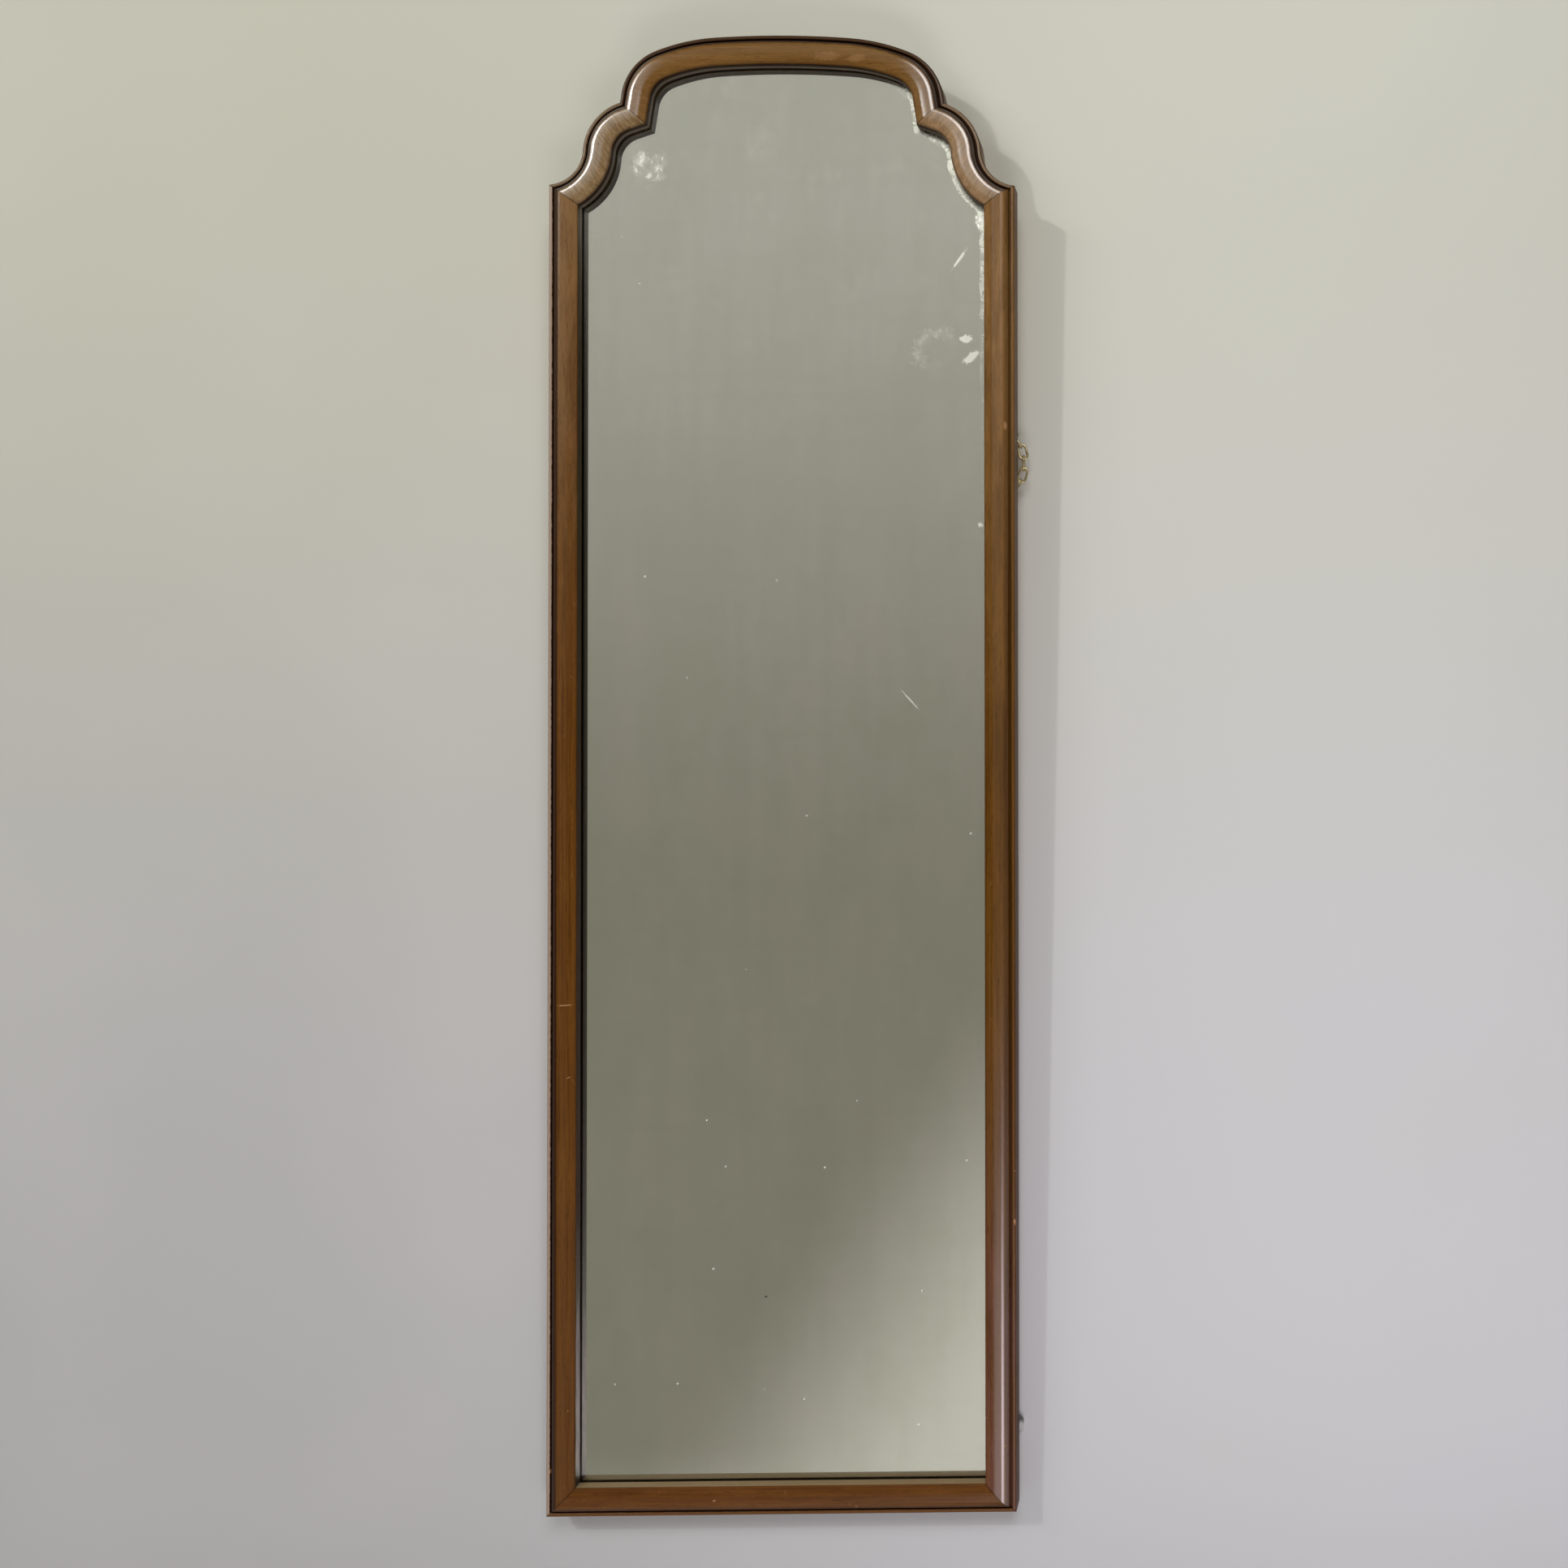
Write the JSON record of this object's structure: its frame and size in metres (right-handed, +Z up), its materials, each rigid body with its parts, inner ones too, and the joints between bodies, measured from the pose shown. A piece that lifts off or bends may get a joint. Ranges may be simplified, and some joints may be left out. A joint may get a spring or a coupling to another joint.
{
  "type": "dressing mirror",
  "caption": "Tall narrow wall-hung dressing mirror with an arched, shouldered crest, a cushion-moulded walnut frame and a hanging chain between screw eyes.",
  "frame": {"origin": "middle of the opening of the link that hangs on the wall hook, at the top of the chain", "axes": "+Z up, +X to the right as seen from in front, +Y out of the back towards the wall; the glass faces -Y"},
  "size_m": [0.4452, 0.0455, 1.3719],
  "materials": {
    "walnut": "french polished, glossy",
    "glass": "polished",
    "silvering": "old silvering with foxing",
    "felt": "matte",
    "pine": "raw, aged",
    "block_pine": "raw",
    "steel": "dull, lightly rusted",
    "brass": "aged brass",
    "bumper": "matte"
  },
  "bodies": {
    "hanging_chain": {"left_chain": "brass", "right_chain": "brass", "hook_link": "brass"},
    "mirror_frame": {"crest_rail": "walnut", "left_shoulder": "walnut", "right_shoulder": "walnut", "left_stile": "walnut", "right_stile": "walnut", "bottom_rail": "walnut", "mirror_glass": "glass", "silvering": "silvering", "backing_felt": "felt", "upper_backboard": "pine", "middle_backboard": "pine", "lower_backboard": "pine", "glass_blocks": "block_pine", "backboard_brads": "steel", "mitre_nails": "steel", "left_screw_eye": "brass", "right_screw_eye": "brass", "left_bumper": "bumper", "right_bumper": "bumper"},
    "spare_chain": {"chain_tail": "brass"}
  },
  "joints": [
    {"name": "mirror_tilt", "type": "hinge", "parent": "hanging_chain", "child": "mirror_frame", "pos_m": [0, 0, -0.09953], "axis": [1, 0, 0], "range_deg": [-5, 90]},
    {"name": "spare_chain_swing", "type": "hinge", "parent": "mirror_frame", "child": "spare_chain", "pos_m": [0.206, 0, -0.10602], "axis": [0, 1, 0], "range_deg": [-40, 60]}
  ]
}
